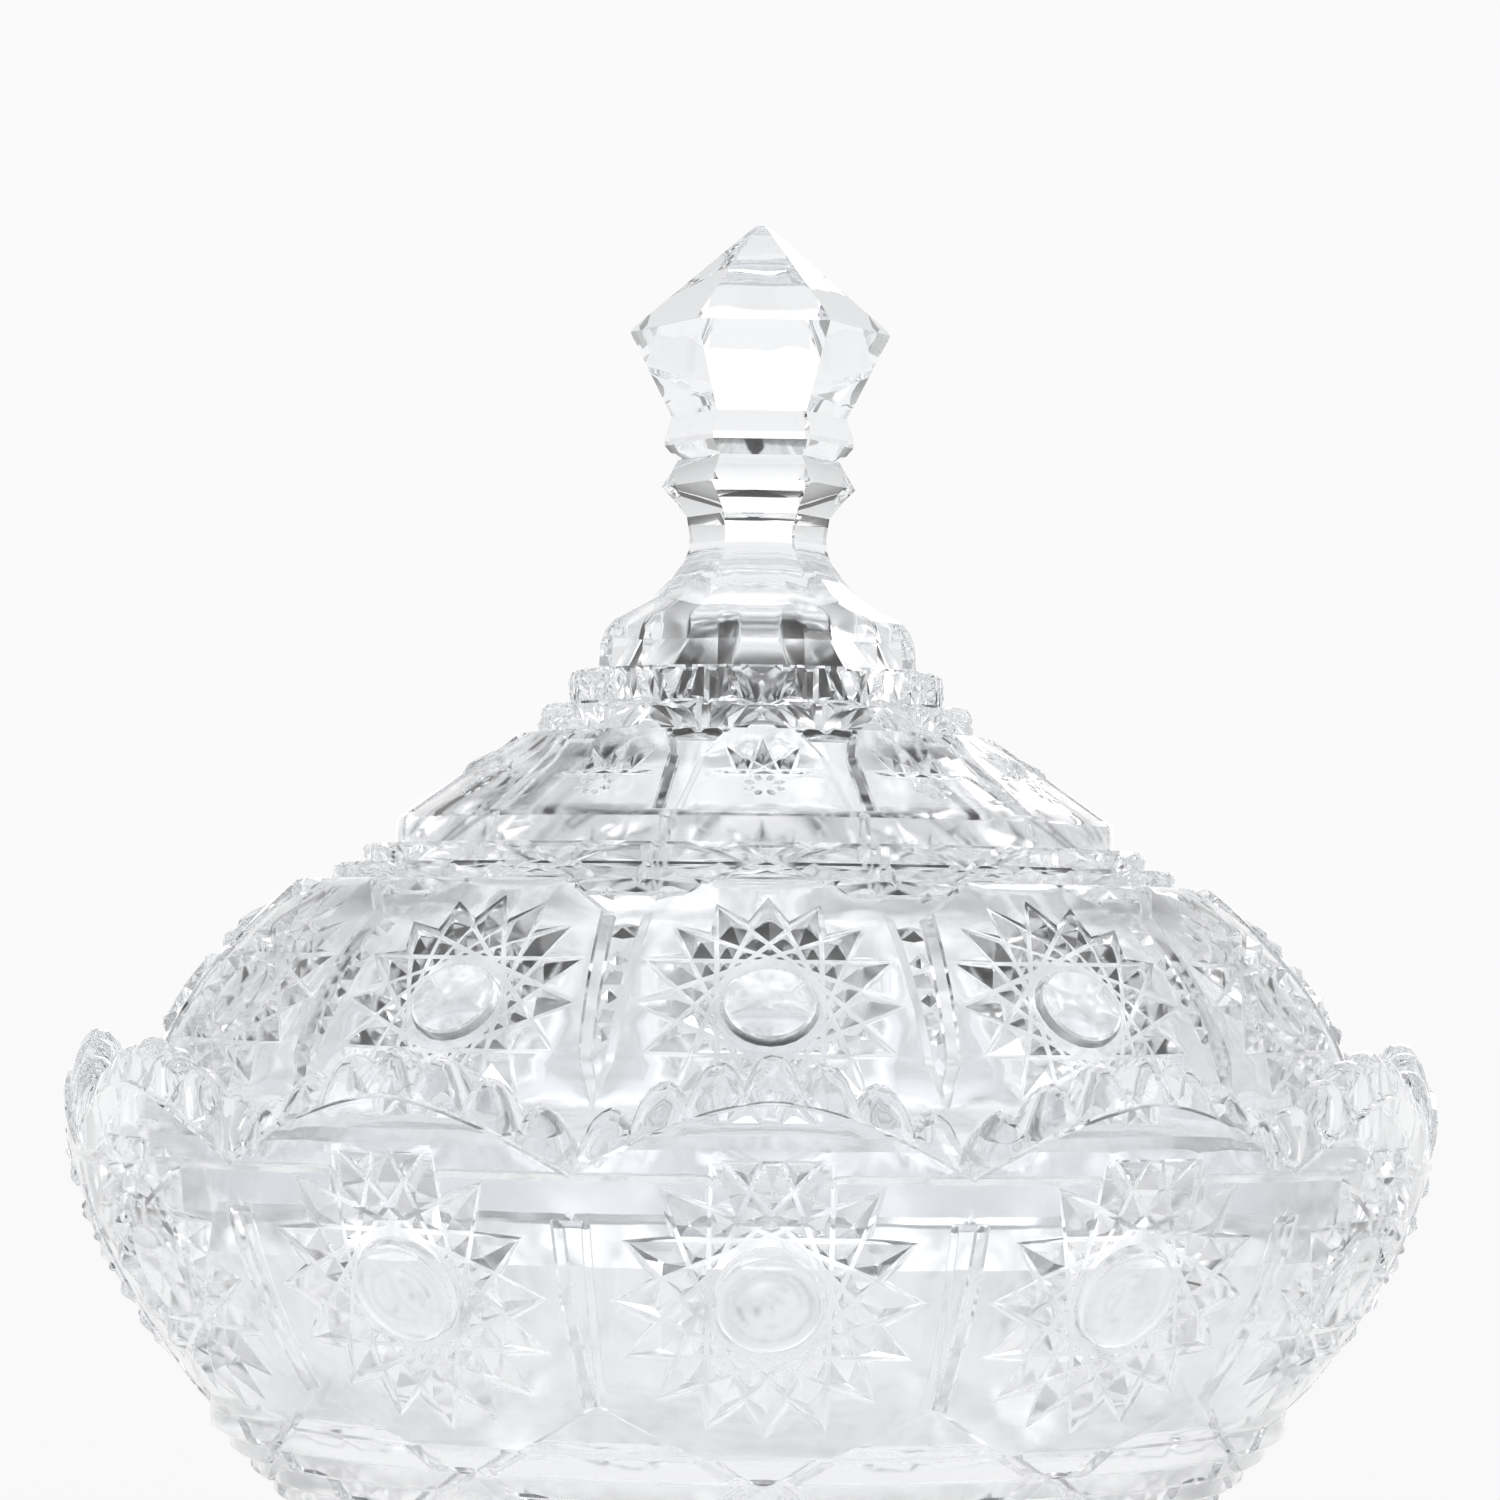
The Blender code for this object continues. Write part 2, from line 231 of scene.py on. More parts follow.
class Sheet:
    """One sector of a decorated skin, laid out flat: points with their heights above the plain glass, edges
    that the triangles keep, cuts that give other points their height, and islands without plain points."""

    def __init__(self, profile, top=None):
        self.profile = profile
        self.top = top or (lambda x: profile.t[-1])
        self.xt, self.high, self.edges, self.index = [], [], [], {}
        self.cuts, self.islands = [], []

    def point(self, x, t, high=None):
        """A point with its height, or with the height that the cuts give it."""
        key = (round(x, 4), round(t, 4))
        if key not in self.index:
            self.index[key] = len(self.xt)
            self.xt.append(key)
            self.high.append(high)
        elif high is not None:
            self.high[self.index[key]] = high
        return self.index[key]

    def path(self, points, closed=False):
        """Joins points with edges, and returns their numbers."""
        ids = [self.point(*p) for p in points]
        if closed:
            ids.append(ids[0])
        self.edges += [(a, b) for a, b in zip(ids, ids[1:]) if a != b]
        return ids

    def row(self, t):
        """A line right round the jar, such as the edge of a step."""
        self.path([(EDGE * (2 * i / SIDE - 1), t) for i in range(SIDE + 1)])

    def star(self, centre_z, size, points, skip, low, top, deep, tall, slope, band, hub=None):
        """A star of V-grooves, deep below the glass, that join every point to the one skip further on. Each
        cell is a pyramid as steep as slope, at most about tall above the grooves, with a rim as wide as band.
        The star is cut off below low and above top, and hub makes the cell in its middle."""
        tc = self.profile.find(centre_z)
        low, top = self.profile.find(low) - tc, self.profile.find(top) - tc
        aside = 99.0  # wider than any star

        def place(p, high=None):
            t = tc + p[1]
            return (p[0] * SPAN / self.profile.at(t)[0], t, high)

        step = 2 * math.pi / points
        tips = [(size[0] * math.sin(i * step), size[1] * math.cos(i * step)) for i in range(points)]
        cells = [tips]
        for i in range(points):
            cells = [part for cell in cells for part in split(cell, tips[i], tips[(i + skip) % points])]
        for level, keep_above in ((low, True), (top, False)):
            parts = [part for cell in cells for part in split(cell, (-aside, level), (aside, level))]
            cells = [c for c in parts if (np.mean(c, axis=0)[1] > level) == keep_above]

        def floor(p):
            rim = math.hypot(p[0] / size[0], p[1] / size[1]) > 1 - TINY
            return 0.0 if rim or abs(p[1] - low) < TINY or abs(p[1] - top) < TINY else -deep

        def on_side(p, q):
            for a, b in zip(tips, tips[1:] + tips[:1]):
                dx, dy = b[0] - a[0], b[1] - a[1]
                least = TINY * math.hypot(dx, dy)
                if all(abs(dx * (s[1] - a[1]) - dy * (s[0] - a[0])) < least for s in (p, q)):
                    return True
            return False

        for cell in cells:
            n = len(cell)
            if any(on_side(cell[i], cell[(i + 1) % n]) for i in range(n)):
                self.notch(cell, floor, place)
                continue
            self.path([place(p, floor(p)) for p in cell], closed=True)
            centre, reach = middle(cell)
            if hub and math.hypot(*centre) < 0.05 and reach > 1.0:
                hub(self, place, cell, deep)
                continue
            inner = max(1 - band / reach, 0.15)
            crown = min(0.17, inner * 0.5)
            peak = min(slope * reach * (inner - crown), tall) - deep
            foot = [centre + (np.array(p) - centre) * inner for p in cell]
            head = [centre + (np.array(p) - centre) * crown for p in cell]
            heights = [h if h < 0 else -0.35 * deep for h in map(floor, cell)]
            a = self.path([place(p, h) for p, h in zip(foot, heights)], closed=True)
            b = self.path([place(p, peak) for p in head], closed=True)
            tip = self.point(*place(centre, peak + 0.4 * slope * reach * crown))
            base = [self.point(*place(p)) for p in cell]
            self.edges += list(zip(base, a)) + list(zip(a, b)) + [(k, tip) for k in b[:-1]]
        self.islands.append([place((p[0], max(p[1], low)))[:2] for p in tips])

    def notch(self, cell, floor, place):
        """The cell between two tips of a star: a bevel runs out from its deep corner to the plain glass."""
        bevel = 1.0
        for i, p in enumerate(cell):
            if floor(p) == 0:
                continue
            before, after = cell[i - 1], cell[(i + 1) % len(cell)]
            share = 1 + bevel / math.hypot(*p)
            lift = place((p[0] * share, p[1] * share), 0.0)
            self.path([place(before, floor(before)), lift, place(after, floor(after))])
            self.path([place(p, floor(p)), lift])

    def channel(self, stations, deep, band, lip=0.28, steps=()):
        """The sunk strip between two neighbouring panels, on both edges of the sector: a small sharp lip, a
        sloping band and a flat floor. stations gives its half-width at each height, and steps the heights of
        the lines across it, with a stud between each two."""
        ts = [self.profile.find(z) for z, _ in stations]
        widths = [w for _, w in stations]
        t0, t1 = ts[0], ts[-1]
        wall = 0.2  # how wide the lip and the step down to the floor are
        stud = 0.95
        breaks = (0.0, wall, wall + band, 2 * wall + band)
        depths = (0.0, lip, deep - lip, deep)
        blunt = widths[0] > 0.01  # or else it starts in a point

        def width(t):
            return float(np.interp(t, ts, widths))

        def edge(t, half_width):
            return EDGE - half_width * SPAN / self.profile.at(t)[0]

        def cut(x, t):
            if not t0 - TINY <= t <= t1 + TINY:
                return 0.0
            r, _ = self.profile.at(t)
            inside = width(t) - (EDGE - abs(x)) * r / SPAN
            above_start = t - t0 if blunt else breaks[-1]
            return -float(np.interp(min(inside, above_start, t1 - t), breaks, depths))

        self.cuts.append(cut)
        ends = [t1 - b for b in breaks] + [t0 + b for b in breaks if blunt]
        samples = sorted({*np.arange(t0, t1, 1.6), *ts, *ends})
        for side in (-1, 1):
            for back in breaks:
                self.path([(side * edge(t, max(width(t) - back, 0.0)), t) for t in samples])
            for z in steps:
                t = self.profile.find(z)
                self.path([(side * EDGE, t, -deep), (side * edge(t, width(t) - breaks[-1]), t)])
            for low, high in zip(steps, steps[1:]):
                t = (self.profile.find(low) + self.profile.find(high)) / 2
                self.point(side * EDGE, t, -deep + stud)
        for t in ends[1:]:
            for side in (-1, 1):
                self.path([(side * EDGE, t), (side * edge(t, width(t)), t)])

    def groove(self, stations, deep, flat=0.22, wide=0.75):
        """A V-groove and its mirror image. stations gives its distance from the middle of the sector at each
        height, flat is half the width of its floor, and wide half that of its opening."""
        ts = [self.profile.find(z) for z, _ in stations]
        xs = [x * SPAN / self.profile.at(t)[0] for t, (_, x) in zip(ts, stations)]
        lean = [math.hypot(dx, dt) / dt for dx, dt in zip(np.diff(xs), np.diff(ts))]
        slants = [lean[0]] + [(a + b) / 2 for a, b in zip(lean, lean[1:])] + [lean[-1]]

        def cut(x, t):
            if not ts[0] - TINY <= t <= ts[-1] + TINY:
                return 0.0
            r, _ = self.profile.at(t)
            centre = float(np.interp(t, ts, xs))
            slant = float(np.interp(t, ts, slants))
            far = min(abs(x - centre), abs(x + centre)) * r / SPAN / slant
            return -deep * max(0.0, min(1.0, (wide - far) / (wide - flat)))

        self.cuts.append(cut)
        samples = sorted({*np.arange(ts[0], ts[-1], 1.5), *ts})
        for side in (-1, 1):
            for off in (-wide, -flat, flat, wide):
                line = []
                for t in samples:
                    r, _ = self.profile.at(t)
                    slant = float(np.interp(t, ts, slants))
                    x = side * float(np.interp(t, ts, xs)) + off * slant * SPAN / r
                    line.append((max(-EDGE, min(EDGE, x)), t))
                self.path(line)

    def seam(self, low, high, deep, flat=0.2, wide=0.6):
        """A V-groove along both edges of the sector."""
        t0, t1 = self.profile.find(low), self.profile.find(high)

        def cut(x, t):
            if not t0 - TINY <= t <= t1 + TINY:
                return 0.0
            far = (EDGE - abs(x)) * self.profile.at(t)[0] / SPAN
            return -deep * max(0.0, min(1.0, (wide - far) / (wide - flat)))

        self.cuts.append(cut)
        samples = sorted({*np.arange(t0, t1, 1.5), t1})
        for side in (-1, 1):
            for off in (0.0, flat, wide):
                self.path([(side * (EDGE - off * SPAN / self.profile.at(t)[0]), t) for t in samples])

    def gem(self, corners, high, base, crown=0.3):
        """A raised pyramid with a blunt top, and its mirror image. corners are (distance from the middle,
        height), and crown is the size of its top, as a share of its base."""
        for side in (-1, 1):
            flat = [(side * x, self.profile.find(z)) for x, z in corners]
            centre = np.mean(flat, axis=0)

            def place(p, h):
                return (p[0] * SPAN / self.profile.at(p[1])[0], p[1], h)

            a = self.path([place(p, base) for p in flat], closed=True)
            b = self.path([place(centre + (np.array(p) - centre) * crown, high) for p in flat], closed=True)
            tip = self.point(*place(centre, high + 0.1))
            self.edges += list(zip(a, b)) + [(k, tip) for k in b[:-1]]
            self.islands.append([place(p, base)[:2] for p in flat])
            if abs(sum(x for x, _ in corners)) < TINY:
                break  # it lies on the middle line and is its own mirror image

    def relief(self, x, t):
        """Height of the skin where no feature sets it."""
        return min([0.0] + [cut(x, t) for cut in self.cuts])

    def covered(self, x, t):
        """Whether an island covers this place."""
        for shape in self.islands:
            inside = False
            for (ax, at), (bx, bt) in zip(shape, shape[1:] + shape[:1]):
                if (at > t) != (bt > t) and x < ax + (bx - ax) * (t - at) / (bt - at):
                    inside = not inside
            if inside:
                return True
        return False

    def wrap_all(self, shell, spacing=2.2, margin=0.6):
        """Adds plain points, triangulates the sheet, and wraps a copy of it round the jar in each sector."""
        length = self.profile.t[-1]
        rows = int(length / spacing)
        for k in range(rows + 1):
            t = length * k / rows
            for i in range(SIDE + 1):
                x = EDGE * (2 * i / SIDE - 1)
                if 0 < t < self.top(x) - margin and not self.covered(x, t):
                    if i in (0, SIDE) or self.relief(x, t) == 0.0:
                        self.point(x, t)
        self.row(0.0)
        flat = [Vector(p) for p in self.xt]
        closest = 1e-5
        out, _, faces, origin, _, _ = delaunay_2d_cdt(flat, self.edges, [], 0, closest)
        highs = []
        for p, sources in zip(out, origin):
            known = [self.high[s] for s in sources if self.high[s] is not None]
            highs.append(known[0] if known else self.relief(p.x, p.y))
        for k in range(SECTORS):
            turn = 2 * HALF * k
            shell.add([self.profile.wrap(p.x, p.y, h, turn) for p, h in zip(out, highs)], faces)


def ring(radius, z, shape=None):
    """Points of one ring. shape gives the radius's factor at an angle, and z may depend on the angle."""
    points = []
    for i in range(COLUMNS):
        angle = 2 * math.pi * i / COLUMNS
        r = radius * (shape(angle) if shape else 1.0)
        height = z(angle) if callable(z) else z
        points.append((r * math.cos(angle + FRONT) * MM, r * math.sin(angle + FRONT) * MM, height * MM))
    return points


def twelve_sided(angle):
    return polygon(angle, SECTORS)


def button(height, radius):
    """A hub that is a round stud with a softened, slightly hollow face."""
    corners = 24

    def hub(sheet, place, cell, deep):
        loops = []
        for share, high in (
            (1.0, -deep),
            (0.96, height - 0.45),
            (0.91, height - 0.12),
            (0.84, height),
            (0.4, height - 0.2),
        ):
            loop = []
            for i in range(corners):
                a = 2 * math.pi * i / corners
                loop.append(place((radius[0] * share * math.sin(a), radius[1] * share * math.cos(a)), high))
            loops.append(sheet.path(loop, closed=True))
        for a, b in zip(loops, loops[1:]):
            sheet.edges += list(zip(a, b))
        tip = sheet.point(*place((0.0, 0.0), height - 0.28))
        sheet.edges += [(k, tip) for k in loops[-1][:-1]]

    return hub


def rosette(sheet, place, cell, deep):
    """A hub that is a plate with a ring of petals sunk into it."""
    shape = np.array(cell)
    level = -0.1
    plate = sheet.path([place(p * 0.92, level) for p in shape], closed=True)
    base = [sheet.point(*place(p)) for p in cell]
    sheet.edges += list(zip(base, plate))
    petals(sheet, place, np.abs(shape).max(axis=0) * 0.84, level)


def petals(sheet, place, size, level):
    """Eight oval pits in a ring."""
    half = ((0.54, 0.13), (0.75, 0.18), (0.93, 0.13))  # distance from the ring's middle, and half-width there
    around = ((0.46, 0.0), *half, (1.0, 0.0), *((away, -aside) for away, aside in reversed(half)))
    for i in range(8):
        a = math.pi * (i + 0.5) / 4
        outline = []
        for away, aside in around:
            u = away * math.sin(a) + aside * math.cos(a)
            v = away * math.cos(a) - aside * math.sin(a)
            outline.append((u * size[0], v * size[1]))
        loop = sheet.path([place(p, level) for p in outline], closed=True)
        mid = np.mean(outline, axis=0)
        low = sheet.path([place(mid + (np.array(p) - mid) * 0.5, level - 0.4) for p in outline], closed=True)
        pit = sheet.point(*place(mid, level - 0.5))
        sheet.edges += list(zip(loop, low)) + [(k, pit) for k in low[:-1]]


# ---------------------------------------------------------------- lid
LIP_RADIUS = 68.8
LID_STEPS = ((46.3, 84.6, 86.4), (43.0, 86.4, 88.5), (39.5, 88.5, 91.5))  # radius, bottom, top
TOP_STEPS = ((23.9, 100.8, 104.0), (20.6, 104.0, 107.8))
SHOULDER = ((38.9, 91.8), (26.2, 100.8))  # the sloping band of small panels
COLLAR = ((18.0, 107.9), (17.85, 110.8), (17.3, 112.3), (16.3, 113.5), (15.2, 114.1))
# From the twelve-sided collar to the six-sided neck: radius, height, and how far it is six-sided.
SHAPE_CHANGE = ((13.6, 115.1, 0.15), (11.9, 116.2, 0.4), (9.7, 118.4, 0.7), (8.2, 120.2, 0.9))
NECK = (
    (7.7, 121.4),
    (7.55, 123.0),
    (7.9, 125.2),
    (9.3, 127.0),
    (10.75, 128.5),
    (9.8, 130.0),
    (8.95, 131.5),
    (9.7, 132.2),
    (10.45, 133.1),
    (10.5, 134.0),
    (10.0, 135.4),
    (9.7, 136.3),
)
KNOB = ((14.2, 145.2), (14.4, 145.7), (14.1, 146.2), (1.2, 157.3), (0.5, 157.75))
KNOB_TIP_Z = 157.9
HOLLOW_TIP_Z = 111.9
HOLLOW_PEAK = ((7.6, 111.7), (11.6, 107.8), (14.0, 104.9))  # twelve-sided, inside the collar
HOLLOW_SLOPE = ((16.3, 101.5), (25.0, 95.6), (33.0, 90.2), (41.0, 85.4), (49.0, 80.4))
DOME_WALL = 5.6
SPIGOT = ((60.8, 53.2), (61.3, 52.6), (64.1, 52.6), (64.7, 53.2))  # the ring that centres the lid in the bowl

# Corners of the raised gems, as distance from the sector's middle and height.
TOP_GEMS = (
    ((1.6, 104.5), (4.3, 104.5), (3.6, 107.3)),
    ((-1.6, 107.35), (0.0, 105.2), (1.6, 107.35)),
    ((2.6, 103.65), (5.6, 103.65), (5.7, 101.4)),
    ((-3.2, 101.25), (0.0, 103.1), (3.2, 101.25)),
)
CHANNEL_GEM = ((8.0, 84.15), (11.0, 84.15), (11.4, 83.1))
STEP_GEMS = (
    ((-4.3, 88.15), (0.0, 86.95), (4.3, 88.15)),
    ((2.4, 86.8), (9.6, 86.8), (9.4, 88.15), (6.9, 88.15)),
    ((-4.1, 84.95), (0.0, 86.0), (4.1, 84.95)),
    ((2.4, 86.1), (10.9, 86.1), (10.9, 84.95), (6.5, 84.95)),
)


def lid_profile():
    points = [(LIP_RADIUS, SEAT_Z + LIFT), (69.0, 58.3), (68.6, 59.3), (67.0, 60.2)]
    points += [(dome_radius(z), z) for z in np.linspace(60.6, LID_STEPS[0][1], 26)]
    for radius, low, high in LID_STEPS:
        points += [(radius, low + 0.12), (radius - 0.05, high - 0.25), (radius - 0.3, high)]
    points += SHOULDER
    for radius, low, high in TOP_STEPS:
        points += [(radius, low + 0.12), (radius - 0.05, high - 0.3), (radius - 0.35, high)]
    points += COLLAR
    return Profile(points, flats=((107.8, 107.9), (0.0, 1.0)))


def small_panel(sheet):
    """The top half of a star on a small panel, and the ring of petals on the plain glass under it."""
    outline = dict(size=(6.9, 9.3), points=10, skip=4, low=95.7, top=101.0)
    sheet.star(94.6, **outline, deep=0.2, tall=0.6, slope=0.95, band=0.16)
    petals_t = sheet.profile.find(94.5)
    radius, _ = sheet.profile.at(petals_t)

    def place(p, high):
        return (p[0] * SPAN / radius, petals_t + p[1], high)

    petals(sheet, place, (2.3, 2.0), 0.0)
    corners = ((-2.6, -2.3), (2.6, -2.3), (2.6, 2.3), (-2.6, 2.3))
    sheet.islands.append([place(p, 0.0)[:2] for p in corners])


def lid_skin():
    """The decorated outside of the lid, from its lip up to its collar."""
    sheet = Sheet(lid_profile())
    find = sheet.profile.find
    outline = dict(size=(13.5, 14.3), points=16, skip=6, low=61.2, top=90.0)
    sheet.star(72.4, **outline, deep=0.3, tall=0.95, slope=1.15, band=0.25, hub=button(0.6, (4.95, 4.5)))
    small_panel(sheet)
    stations = ((61.8, 0.0), (67.0, 1.9), (77.0, 2.4), (81.4, 2.7), (84.5, 7.9))
    sheet.channel(stations, deep=1.0, band=0.95, steps=(69.0, 70.9, 72.8, 74.7, 76.6, 78.6, 80.8))
    sheet.channel(((91.9, 1.6), (98.0, 2.1), (100.7, 3.6)), deep=0.85, band=0.7)
    sheet.groove(((84.72, 5.4), (86.5, 0.0), (88.5, -5.7)), deep=0.7)
    sheet.groove(((100.9, 4.9), (104.0, 0.0), (107.7, -2.7)), deep=0.6, flat=0.3, wide=0.8)
    sheet.seam(84.6, 91.5, deep=0.6)
    sheet.seam(100.8, 107.7, deep=0.6, flat=0.35, wide=0.8)
    for corners in TOP_GEMS:
        sheet.gem(corners, 0.15, base=-0.3)
    sheet.gem(CHANNEL_GEM, -0.1, base=-0.95)
    for corners in STEP_GEMS:
        sheet.gem(corners, 0.1, base=-0.45)
    for _, low, high in LID_STEPS + TOP_STEPS:
        for z in (low + 0.12, high - 0.28, high):
            sheet.row(find(z))
    for z in (60.2, 91.8, 100.8, 107.9, 110.8, 112.3, 113.5):
        sheet.row(find(z))
    sheet.row(sheet.profile.t[-1])
    return sheet


def lid_neck():
    """Rings of the neck and the knob, which turn from twelve-sided to six-sided on their way up."""

    def blend(sixth):
        return lambda angle: sixth * polygon(angle, KNOB_SIDES) + (1 - sixth) * twelve_sided(angle)

    rings = [ring(*COLLAR[-1], twelve_sided)]
    rings += [ring(radius, z, blend(sixth)) for radius, z, sixth in SHAPE_CHANGE]
    rings += [ring(radius, z, blend(1.0)) for radius, z in NECK + KNOB]
    return rings


def lid_inside():
    """Rings of the lid's hollow and of its spigot, out to the lip."""
    rings = [ring(radius, z, twelve_sided) for radius, z in HOLLOW_PEAK]
    rings += [ring(radius, z) for radius, z in HOLLOW_SLOPE]
    rings += [ring(dome_radius(z) - DOME_WALL, z) for z in np.linspace(77.5, SEAT_Z + 2.5, 9)]
    lip = SEAT_Z + LIFT
    rings += [ring(radius, z) for radius, z in (*SPIGOT, (SPIGOT[-1][0], lip), (LIP_RADIUS, lip))]
    return rings


def make_lid():
    shell = Shell()
    lid_skin().wrap_all(shell)
    shell.rings(lid_neck(), end=KNOB_TIP_Z)
    shell.rings(lid_inside(), start=HOLLOW_TIP_Z, slot=INSIDE_SLOT)
    return shell.build("lid_glass")


# ---------------------------------------------------------------- bowl
STEP_TOP, STEP_HEIGHT, STEP_COUNT = 27.9, 2.4, 4
STEP_BOTTOM = STEP_TOP - STEP_COUNT * STEP_HEIGHT
FOOT_RADIUS = 34.8  # where the twelve-sided foot stands
TEETH = 7  # to a scallop
TOOTH = 6  # columns to a tooth
TOOTH_SHAPE = (0.0, 0.62, 0.93, 1.0, 0.93, 0.62)  # how high each of its columns reaches
RIM_COLUMNS = TEETH * TOOTH  # in a sector
# The teeth from outside to inside: how far in, and the rise over the smooth edge at a tooth and at a notch.
RIM_CREST = (
    (0.0, 0.0, 0.0),
    (0.15, 0.3, 0.25),
    (0.7, 0.5, 0.35),
    (0.95, 2.0, 0.7),
    (1.5, 3.7, 1.2),
    (2.3, 4.6, 1.8),
    (3.2, 4.9, 2.2),
    (4.3, 4.7, 2.4),
    (5.0, 4.1, 2.1),
    (5.4, 3.2, 1.4),
)
RIM_INSIDE = 69.75
SEAT_INSIDE = 65.7
BOWL_WALL = 6.6
FLOOR_Z = 13.5
RECESS_Z = 1.5  # height of the underside within the foot
SCALLOP_Z, SCALLOP_DROP, SCALLOP_POWER = 63.1, 7.2, 1.6  # the edge over a panel and its fall aside


def rim_edge(x):
    """Height of the smooth scalloped edge at x."""
    return SCALLOP_Z - SCALLOP_DROP * (abs(x) / EDGE) ** SCALLOP_POWER


def bowl_profile():
    points = [(FOOT_RADIUS, 0.0), (35.6, 0.9), (35.6, 6.3), (35.0, 6.9)]
    points += [(bowl_radius(z), z) for z in np.linspace(7.2, STEP_BOTTOM - 0.2, 10)]
    for i in reversed(range(STEP_COUNT)):
        top = STEP_TOP - STEP_HEIGHT * i
        low = top - STEP_HEIGHT
        radius = bowl_radius(top)
        points += [(radius - 0.35, low + 0.15), (radius, low + 0.45), (radius, top - 0.1)]
    points += [(bowl_radius(z), z) for z in np.linspace(STEP_TOP + 0.5, 64.0, 40)]
    return Profile(points, flats=((6.3, 6.9), (1.0, 0.0)))


def rim_rings(profile):
    """Rows of points from the scalloped edge over the teeth and down the inside of the rim to the seat."""
    crest = [[] for _ in RIM_CREST]
    inside = [[], []]
    for k in range(SECTORS):
        for j in range(RIM_COLUMNS):
            x = EDGE * (2 * j / RIM_COLUMNS - 1)
            r0, z0 = profile.at(profile.find(rim_edge(x)))
            angle = x / SPAN + 2 * HALF * k + FRONT
            ca, sa = math.cos(angle) * MM, math.sin(angle) * MM
            for row, (inset, high, notch) in zip(crest, RIM_CREST):
                r = r0 - inset
                z = z0 + notch + TOOTH_SHAPE[j % TOOTH] * (high - notch)
                row.append((r * ca, r * sa, z * MM))
            for row, level in zip(inside, ((z + SEAT_Z) / 2, SEAT_Z)):
                row.append((RIM_INSIDE * ca, RIM_INSIDE * sa, level * MM))
    return crest + inside


def bowl_skin():
    """The decorated outside of the bowl, from its foot up to its scalloped edge."""
    profile = bowl_profile()

    def top(x):
        return profile.find(rim_edge(x))

    sheet = Sheet(profile, top)
    large = dict(size=(15.3, 17.0), points=16, skip=6, low=10.0, top=58.0)
    sheet.star(44.2, **large, deep=0.5, tall=1.1, slope=1.35, band=0.25, hub=button(0.5, (5.6, 5.9)))
    small = dict(size=(7.6, 7.6), points=8, skip=3, low=7.8, top=17.9)
    sheet.star(12.6, **small, deep=0.2, tall=0.6, slope=0.95, band=0.2, hub=rosette)
    sheet.channel(((28.1, 9.4), (32.9, 1.3), (38.0, 1.5), (44.0, 1.8), (52.0, 2.0)), deep=0.85, band=0.8)
    sheet.groove(((18.6, -13.5), (23.1, -5.7), (25.5, 0.0), (27.85, 5.6)), deep=0.7)
    for i in range(STEP_COUNT):
        low = STEP_BOTTOM + STEP_HEIGHT * i
        for z in (low + 0.15, low + 0.45, low + STEP_HEIGHT - 0.1):
            sheet.row(profile.find(z))
    for z in (0.9, 6.3, 6.9, 7.2, STEP_BOTTOM - 0.2, STEP_TOP + 0.5):
        sheet.row(profile.find(z))
    columns = [EDGE * (2 * j / RIM_COLUMNS - 1) for j in range(RIM_COLUMNS + 1)]
    sheet.path([(x, top(x), 0.0) for x in columns])
    return sheet


def add_seat(shell, fine):
    """The ledge for the lid. fine is the rim's last row, where several columns meet one of the inner wall."""
    wide = len(fine) // COLUMNS
    turn = SIDE // 2 * wide  # the rim starts at a sector's edge, and rings at its middle
    faces = []
    for i in range(COLUMNS):
        outer = [(turn + i * wide + s) % len(fine) for s in range(wide + 1)]
        faces.append((*outer, len(fine) + (i + 1) % COLUMNS, len(fine) + i))
    shell.add(fine + ring(SEAT_INSIDE, SEAT_Z), faces)


def bowl_inside():
    """Rings of the bowl's inner wall, from the seat down to its floor."""
    rings = [ring(SEAT_INSIDE, SEAT_Z), ring(65.3, 56.1), ring(65.1, 51.1)]
    rings += [ring(bowl_radius(z) - BOWL_WALL, z) for z in np.linspace(48.1, 18.5, 12)]
    edge = bowl_radius(18.5) - BOWL_WALL
    rings += [ring(edge - inset, z) for inset, z in ((2.0, 16.6), (4.4, 15.3), (7.5, 14.3), (11.0, 13.8))]
    rings.append(ring(12.0, 13.55))
    return rings


def bowl_underside():
    """Rings of the recess in the foot, with a star of shallow rays pressed up into it."""

    def rays(depth):
        def height(angle):
            share = abs((angle * 2 * SECTORS / (2 * math.pi)) % 1.0 - 0.5) * 2
            return RECESS_Z + depth * share

        return height

    rings = [ring(FOOT_RADIUS, 0.0, twelve_sided)]
    rings += [ring(radius, z) for radius, z in ((29.1, 0.0), (27.6, RECESS_Z), (25.5, RECESS_Z))]
    rings += [ring(radius, rays(depth)) for radius, depth in ((20.0, 1.0), (12.0, 1.3), (5.0, 0.8))]
    return rings


def make_bowl():
    shell = Shell()
    sheet = bowl_skin()
    sheet.wrap_all(shell)
    rim = rim_rings(sheet.profile)
    shell.rings(rim)
    add_seat(shell, rim[-1])
    shell.rings(bowl_inside(), end=FLOOR_Z, slot=INSIDE_SLOT)
    shell.rings(bowl_underside(), end=RECESS_Z)
    return shell.build("bowl_glass")


# ---------------------------------------------------------------- looks
GLASS_IOR = 1.52
DEEP_TINT, PALE_TINT = (0.958, 0.969, 0.983, 1.0), (0.972, 0.980, 0.991, 1.0)
CLEAR_POLISH = (0.0, 0.04)  # range of the roughness
INSIDE_POLISH = (0.10, 0.15)


